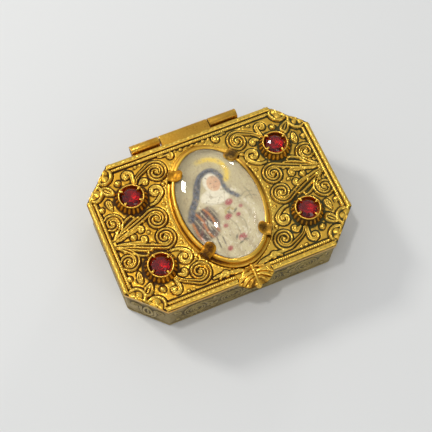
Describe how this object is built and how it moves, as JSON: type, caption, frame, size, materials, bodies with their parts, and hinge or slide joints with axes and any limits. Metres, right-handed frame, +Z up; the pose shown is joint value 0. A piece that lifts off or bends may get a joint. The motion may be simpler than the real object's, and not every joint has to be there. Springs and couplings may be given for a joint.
{
  "type": "rosary box",
  "caption": "Octagonal gilt metal box with a hinged lid in scroll relief, a domed oval glass over a painted picture, and round faceted stones in raised cups.",
  "frame": {"origin": "centre of the tray's flat underside", "axes": "+X along the box's length, +Y from the thumb tab to the hinge, +Z up"},
  "size_m": [0.0572, 0.0446, 0.0165],
  "materials": {
    "gilt": "antiqued gilt casting, dark in the hollows, bright on the ridges",
    "dull_gilt": "dull, greyed antique gilt",
    "pin_brass": "worn brass",
    "painted_card": "hand-coloured picture on ivory card",
    "clear_glass": "polished clear glass",
    "red_stone": "faceted ruby-red glass"
  },
  "bodies": {
    "tray": {"body": "dull_gilt", "hinge_pin": "pin_brass"},
    "cover": {"lid": "gilt", "picture": "painted_card", "glass_dome": "clear_glass", "stone_back_left": "red_stone", "stone_back_right": "red_stone", "stone_front_left": "red_stone", "stone_front_right": "red_stone"}
  },
  "joints": [
    {"name": "lid_hinge", "type": "hinge", "parent": "tray", "child": "cover", "pos_m": [-0.0003, 0.02135, 0.0112], "axis": [-1, 0, 0], "range_deg": [0, 100]}
  ]
}
